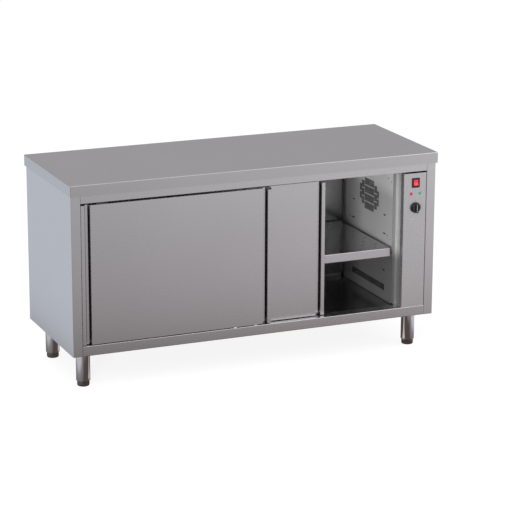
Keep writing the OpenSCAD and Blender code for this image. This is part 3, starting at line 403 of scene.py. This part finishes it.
def studio_floor():
    """A white floor that keeps the object's shadow.

    Mirror rays see it grey far before the cabinet and darkened by painted shade close in front of it.
    Beneath the cabinet they see a painted shadow, crossed by bands of painted light along the rows of legs.
    Beside it they see painted shade near its sides, paler further out.
    """
    mesh = bpy.data.meshes.new("floor")
    span = 40.0
    mesh.from_pydata([(-span, -span, 0), (span, -span, 0), (span, span, 0), (-span, span, 0)], [],
                     [(0, 1, 2, 3)])
    floor = bpy.data.objects.new("floor", mesh)
    bpy.context.scene.collection.objects.link(floor)
    mat = bpy.data.materials.new("studio_floor")
    mat.use_nodes = True
    tree = mat.node_tree
    tree.nodes.remove(tree.nodes["Principled BSDF"])
    axis = placed(tree)
    # Grey far before the cabinet, darkening towards its front: painted shade.
    before = ramp(tree, axis["Y"], -8.0, -0.25, (-8.0, rgb(0.60, 0.59, 0.60)),
                  (-2.7, rgb(0.495, 0.485, 0.505)), (-1.8, rgb(0.495, 0.47, 0.49)),
                  (-1.1, rgb(0.45, 0.42, 0.43)), (-0.85, rgb(0.37, 0.335, 0.345)),
                  (-0.6, rgb(0.30, 0.265, 0.26)), (-0.42, rgb(0.22, 0.19, 0.18)),
                  (-0.3, rgb(0.10, 0.08, 0.07)))
    across = remap(tree, axis["X"], -1.0, 2.5, 0.77, 1.6)
    widened = add(tree, "ShaderNodeCombineXYZ", {0: across, 1: across, 2: across}).outputs[0]
    before = mix_colour(tree, 1.0, before, widened, "MULTIPLY")
    sideways = maths(tree, "ABSOLUTE", axis["X"])
    # dark is a painted shadow under the cabinet; pale paints bands of light along the rows of legs.
    dark, pale = rgb(0.12, 0.10, 0.095), rgb(0.85, 0.78, 0.74)
    leg_row_light_bands = ramp(tree, axis["Y"], -0.5, 0.5, (-0.27, dark), (-0.245, pale), (-0.175, pale),
                   (-0.15, dark), (0.14, dark), (0.165, pale), (0.235, pale), (0.26, dark))
    beneath = mix_colour(tree, remap(tree, sideways, 0.60, 0.64), leg_row_light_bands, dark)
    # Painted shade just beside the cabinet's sides, paler further out.
    outside = ramp(tree, sideways, 0.7, 1.2, (0.78, rgb(0.22, 0.21, 0.215)),
                   (0.90, rgb(0.35, 0.35, 0.365)), (1.0, rgb(0.68, 0.72, 0.79)),
                   (1.1, rgb(0.72, 0.765, 0.84)))
    beside = mix_colour(tree, remap(tree, sideways, 0.75, 0.79), beneath, outside)
    room = mix_colour(tree, remap(tree, axis["Y"], -0.65, -0.5, smooth=True), before, beside)
    shown, mirrored = light_path(tree)
    colour = mix_colour(tree, mirrored, WHITE, room)
    strength = maths(tree, "MULTIPLY", shown, remap(tree, mirrored, 0, 1, 0.84, 1.0))
    glow = add(tree, "ShaderNodeEmission", {"Color": colour, "Strength": strength})
    matt = add(tree, "ShaderNodeBsdfDiffuse",
               {"Color": mix_colour(tree, mirrored, rgb(0.2, 0.2, 0.2), BLACK)})
    both = add(tree, "ShaderNodeAddShader", {0: glow.outputs[0], 1: matt.outputs[0]})
    tree.links.new(both.outputs[0], tree.nodes["Material Output"].inputs["Surface"])
    mesh.materials.append(mat)


def area_lamp(name, place, aim, size, power, mirrored=True):
    """A square lamp that faces the point aim. Mirror rays see it unless mirrored is False."""
    lamp = bpy.data.lights.new(name, "AREA")
    lamp.shape, lamp.size, lamp.energy = "SQUARE", size, power
    obj = bpy.data.objects.new(name, lamp)
    obj.location = place
    obj.rotation_euler = (Vector(aim) - Vector(place)).to_track_quat("-Z", "Y").to_euler()
    obj.visible_glossy = mirrored
    bpy.context.scene.collection.objects.link(obj)


studio_world()
studio_floor()
area_lamp("key_lamp", (-2.6, -3.4, 4.2), (0, 0, 0.5), 5.0, 120)
area_lamp("fill_lamp", (3.6, -2.6, 2.8), (0.4, 0, 0.5), 4.0, 60)
area_lamp("low_lamp", (-2.9, -4.2, 0.7), (0.6, 0, 0.6), 1.1, 260, mirrored=False)


# ---- small details ----

def mesh_piece(name, mat, body, build):
    """A piece whose mesh the function build fills."""
    mesh = bpy.data.meshes.new(name)
    bm = bmesh.new()
    build(bm)
    bm.to_mesh(mesh)
    bm.free()
    mesh.materials.append(mat)
    obj = bpy.data.objects.new(name, mesh)
    bpy.context.scene.collection.objects.link(obj)
    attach(obj, body)


CHAMFER = 0.0001
CORNER_STEPS = 5


def rounded_plate(bm, centre, half_w, half_h, y_back, y_front):
    """A thin plate facing the front, with rounded corners and a narrow chamfer. centre is its X and Z."""
    corner = min(half_w, half_h) * 0.9
    turn = 90 / (CORNER_STEPS - 1)
    loops = []
    for inset, y in ((0.0, y_back), (0.0, y_front + CHAMFER), (CHAMFER, y_front)):
        ring = []
        for quarter, (sx, sz) in enumerate(((1, 1), (-1, 1), (-1, -1), (1, -1))):
            for step in range(CORNER_STEPS):
                a = math.radians(90 * quarter + turn * step)
                x = centre[0] + sx * (half_w - corner) + (corner - inset) * math.cos(a)
                z = centre[1] + sz * (half_h - corner) + (corner - inset) * math.sin(a)
                ring.append(bm.verts.new((x, y, z)))
        loops.append(ring)
    count = len(loops[0])
    for low, high in zip(loops, loops[1:]):
        for k in range(count):
            bm.faces.new((low[k], low[(k + 1) % count], high[(k + 1) % count], high[k]))
    bm.faces.new(loops[-1])
    bm.faces.new(list(reversed(loops[0])))
    bmesh.ops.recalc_face_normals(bm, faces=bm.faces)


panel_x, knob_z = 0.70445, 0.6203
knob_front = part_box("knob")[0][1]
index_z = knob_z + 0.029
index_back, index_front = -0.2888, -0.2893
mesh_piece("knob_line", line_white, "knob",
           lambda bm: rounded_plate(bm, (panel_x, knob_z), 0.0009, 0.0155, knob_front + 0.0004,
                                    knob_front - 0.00003))
mesh_piece("knob_index", black_plastic, "cabinet",
           lambda bm: rounded_plate(bm, (panel_x, index_z), 0.0014, 0.0014, index_back, index_front))

# ---- camera ----

EYE = Vector((-3.36019, -8.14746, 2.86642))
YAW, PITCH, ROLL = math.radians(23.07), math.radians(15.57), math.radians(0.23)
FOCAL_PIXELS, IMAGE_PIXELS, SENSOR = 2191.29, 512, 36.0

camera = bpy.data.cameras.new("camera")
camera.sensor_width = SENSOR
camera.lens = FOCAL_PIXELS * SENSOR / IMAGE_PIXELS
camera.clip_start, camera.clip_end = 0.1, 100
viewer = bpy.data.objects.new("camera", camera)
look = Vector((math.sin(YAW) * math.cos(PITCH), math.cos(YAW) * math.cos(PITCH), -math.sin(PITCH)))
level = Vector((math.cos(YAW), -math.sin(YAW), 0))
upright = level.cross(look)
right = math.cos(ROLL) * level + math.sin(ROLL) * upright
top = math.cos(ROLL) * upright - math.sin(ROLL) * level
viewer.matrix_world = Matrix.Translation(EYE) @ Matrix((right, top, -look)).transposed().to_4x4()
bpy.context.scene.collection.objects.link(viewer)
bpy.context.scene.camera = viewer
bpy.context.scene.view_settings.view_transform = "Standard"
